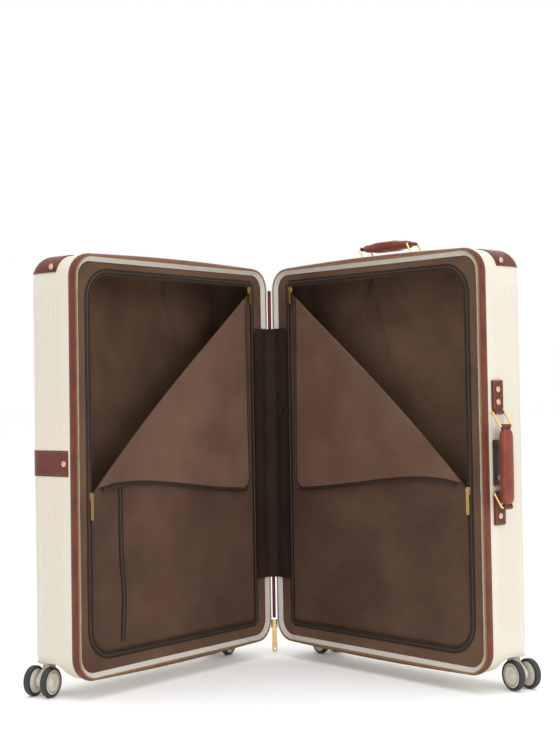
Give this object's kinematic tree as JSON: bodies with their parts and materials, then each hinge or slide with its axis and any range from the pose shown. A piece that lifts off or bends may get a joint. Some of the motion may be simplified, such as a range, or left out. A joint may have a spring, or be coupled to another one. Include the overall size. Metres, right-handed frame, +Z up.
{
  "type": "hard shell spinner suitcase",
  "caption": "Large hard-shell suitcase standing open like a book, with zipped linings, leather handles and trim, a telescopic trolley handle and twin-wheel casters.",
  "frame": {"origin": "on the floor under the middle of the whole opened case", "axes": "+Z up; the mouth of the open V faces -Y; +X to the right as seen from the mouth, with the front half at -X and the back half at +X"},
  "size_m": [0.8678, 0.4656, 0.7771],
  "materials": {
    "shell": "cream ribbed polycarbonate",
    "leather": "red-brown smooth leather",
    "vinyl": "off-white coated facing",
    "zip_brass": "brass zip teeth",
    "brass": "polished brass",
    "lining": "dark brown woven lining",
    "divider": "dark brown woven panel",
    "lock_metal": "dark grey lock plate",
    "lock_button": "satin button",
    "tube": "anodised tube",
    "trolley_plastic": "moulded, cream",
    "caster_plastic": "moulded nylon, cream",
    "hub": "moulded hub",
    "tyre": "dark grey polyurethane",
    "axle_steel": "steel pin"
  },
  "bodies": {
    "back_half": {"back_caster_housings": "caster_plastic", "back_corner_guards": "leather", "back_divider": "divider", "back_lining": "lining", "back_rivets": "brass", "back_shell": "shell", "back_trim": "leather", "back_vinyl": "vinyl", "back_zip_sliders": "brass", "back_zip_teeth": "zip_brass", "hinge_strip": "leather", "lock_plate": "lock_metal", "side_handle_straps": "leather", "spine_cover": "lining", "top_handle_tabs": "leather", "trolley_bezel": "trolley_plastic", "trolley_outer_tubes": "tube"},
    "front_half": {"front_belly_band": "leather", "front_caster_housings": "caster_plastic", "front_corner_guards": "leather", "front_divider": "divider", "front_lining": "lining", "front_rivets": "brass", "front_shell": "shell", "front_trim": "leather", "front_vinyl": "vinyl", "front_zip_sliders": "brass", "front_zip_teeth": "zip_brass"},
    "main_zip_pull": {"main_zip_pull": "brass"},
    "back_pull_top": {"back_pull_top": "brass"},
    "back_pull_side": {"back_pull_side": "brass"},
    "front_pull_top": {"front_pull_top": "brass"},
    "front_pull_side": {"front_pull_side": "brass"},
    "side_ring_upper": {"side_ring_upper": "brass"},
    "side_ring_lower": {"side_ring_lower": "brass"},
    "side_grip": {"side_handle_grip": "leather"},
    "top_ring_inner": {"top_ring_inner": "brass"},
    "top_ring_outer": {"top_ring_outer": "brass"},
    "top_grip": {"top_handle_grip": "leather"},
    "lock_button": {"lock_button": "lock_button"},
    "trolley_mid": {"trolley_mid_tubes": "tube"},
    "trolley_inner": {"trolley_inner_tubes": "tube", "trolley_grip": "trolley_plastic"},
    "trolley_button": {"trolley_button": "trolley_plastic"},
    "back_fork_1": {"back_caster_1_fork": "caster_plastic"},
    "back_wheels_1": {"back_caster_1_axle": "axle_steel", "back_caster_1_hubs": "hub", "back_caster_1_tyres": "tyre"},
    "back_fork_2": {"back_caster_2_fork": "caster_plastic"},
    "back_wheels_2": {"back_caster_2_axle": "axle_steel", "back_caster_2_hubs": "hub", "back_caster_2_tyres": "tyre"},
    "front_fork_1": {"front_caster_1_fork": "caster_plastic"},
    "front_wheels_1": {"front_caster_1_axle": "axle_steel", "front_caster_1_hubs": "hub", "front_caster_1_tyres": "tyre"},
    "front_fork_2": {"front_caster_2_fork": "caster_plastic"},
    "front_wheels_2": {"front_caster_2_axle": "axle_steel", "front_caster_2_hubs": "hub", "front_caster_2_tyres": "tyre"}
  },
  "joints": [
    {"name": "case_hinge", "type": "hinge", "parent": "back_half", "child": "front_half", "pos_m": [0, 0.1713, 0.38], "axis": [0, 0, 1], "range_deg": [-100.5, 79.5]},
    {"name": "side_ring_upper_swing", "type": "hinge", "parent": "back_half", "child": "side_ring_upper", "pos_m": [0.36556, -0.20725, 0.467], "axis": [-0.7688, -0.6394, 0], "range_deg": [0, 105]},
    {"name": "side_ring_lower_swing", "type": "hinge", "parent": "back_half", "child": "side_ring_lower", "pos_m": [0.36556, -0.20725, 0.333], "axis": [-0.7688, -0.6394, 0], "range_deg": [0, 105]},
    {"name": "side_grip_turn", "type": "hinge", "parent": "side_ring_upper", "child": "side_grip", "pos_m": [0.37514, -0.21877, 0.44394], "axis": [-0.7688, -0.6394, 0], "range_deg": [-105, 0]},
    {"name": "top_ring_inner_swing", "type": "hinge", "parent": "back_half", "child": "top_ring_inner", "pos_m": [0.18548, 0.06088, 0.7458], "axis": [-0.7688, -0.6394, 0], "range_deg": [-90, 30]},
    {"name": "top_ring_outer_swing", "type": "hinge", "parent": "back_half", "child": "top_ring_outer", "pos_m": [0.26222, -0.03138, 0.7458], "axis": [-0.7688, -0.6394, 0], "range_deg": [-90, 30]},
    {"name": "top_grip_turn", "type": "hinge", "parent": "top_ring_inner", "child": "top_grip", "pos_m": [0.17669, 0.07145, 0.76962], "axis": [-0.7688, -0.6394, 0], "range_deg": [-30, 90]},
    {"name": "lock_button_press", "type": "slide", "parent": "back_half", "child": "lock_button", "axis": [-0.6394, 0.7688, 0], "range_m": [0, 0.0012], "stiffness_N_per_m": 400},
    {"name": "trolley_mid_slide", "type": "slide", "parent": "back_half", "child": "trolley_mid", "axis": [0, 0, 1], "range_m": [0, 0.19]},
    {"name": "trolley_inner_slide", "type": "slide", "parent": "trolley_mid", "child": "trolley_inner", "axis": [0, 0, 1], "range_m": [0, 0.19]},
    {"name": "trolley_button_press", "type": "slide", "parent": "trolley_inner", "child": "trolley_button", "axis": [0, 0, -1], "range_m": [0, 0.002], "stiffness_N_per_m": 500},
    {"name": "main_pull_swing", "type": "hinge", "parent": "back_half", "child": "main_zip_pull", "pos_m": [0, 0.1661, 0.0586], "axis": [1, 0, 0], "range_deg": [-150, 0]},
    {"name": "back_pull_top_swing", "type": "hinge", "parent": "back_half", "child": "back_pull_top", "pos_m": [0.03807, 0.13272, 0.7032], "axis": [0.6394, -0.7688, 0], "range_deg": [-150, 0]},
    {"name": "back_pull_side_swing", "type": "hinge", "parent": "back_half", "child": "back_pull_side", "pos_m": [0.31303, -0.19788, 0.3372], "axis": [0.6394, -0.7688, 0], "range_deg": [-150, 0]},
    {"name": "front_pull_top_swing", "type": "hinge", "parent": "front_half", "child": "front_pull_top", "pos_m": [-0.03807, 0.13272, 0.7032], "axis": [0.6394, 0.7688, 0], "range_deg": [-150, 0]},
    {"name": "front_pull_side_swing", "type": "hinge", "parent": "front_half", "child": "front_pull_side", "pos_m": [-0.31303, -0.19788, 0.3372], "axis": [0.6394, 0.7688, 0], "range_deg": [-150, 0]},
    {"name": "back_swivel_1", "type": "hinge", "parent": "back_half", "child": "back_fork_1", "pos_m": [0.09453, 0.2109, 0.05], "axis": [0, 0, 1], "continuous": true},
    {"name": "back_roll_1", "type": "hinge", "parent": "back_fork_1", "child": "back_wheels_1", "pos_m": [0.10415, 0.19337, 0.02525], "axis": [-0.8767, -0.481, 0], "continuous": true},
    {"name": "back_swivel_2", "type": "hinge", "parent": "back_half", "child": "back_fork_2", "pos_m": [0.39315, -0.14815, 0.05], "axis": [0, 0, 1], "continuous": true},
    {"name": "back_roll_2", "type": "hinge", "parent": "back_fork_2", "child": "back_wheels_2", "pos_m": [0.40277, -0.16568, 0.02525], "axis": [-0.8767, -0.481, 0], "continuous": true},
    {"name": "front_swivel_1", "type": "hinge", "parent": "front_half", "child": "front_fork_1", "pos_m": [-0.09453, 0.2109, 0.05], "axis": [0, 0, 1], "continuous": true},
    {"name": "front_roll_1", "type": "hinge", "parent": "front_fork_1", "child": "front_wheels_1", "pos_m": [-0.10415, 0.19337, 0.02525], "axis": [0.8767, -0.481, 0], "continuous": true},
    {"name": "front_swivel_2", "type": "hinge", "parent": "front_half", "child": "front_fork_2", "pos_m": [-0.39315, -0.14815, 0.05], "axis": [0, 0, 1], "continuous": true},
    {"name": "front_roll_2", "type": "hinge", "parent": "front_fork_2", "child": "front_wheels_2", "pos_m": [-0.40277, -0.16568, 0.02525], "axis": [0.8767, -0.481, 0], "continuous": true}
  ],
  "couplings": [
    {"joint": "side_ring_lower_swing", "follows": "side_ring_upper_swing", "ratio": 1},
    {"joint": "side_grip_turn", "follows": "side_ring_upper_swing", "ratio": -1},
    {"joint": "top_ring_outer_swing", "follows": "top_ring_inner_swing", "ratio": 1},
    {"joint": "top_grip_turn", "follows": "top_ring_inner_swing", "ratio": -1}
  ]
}
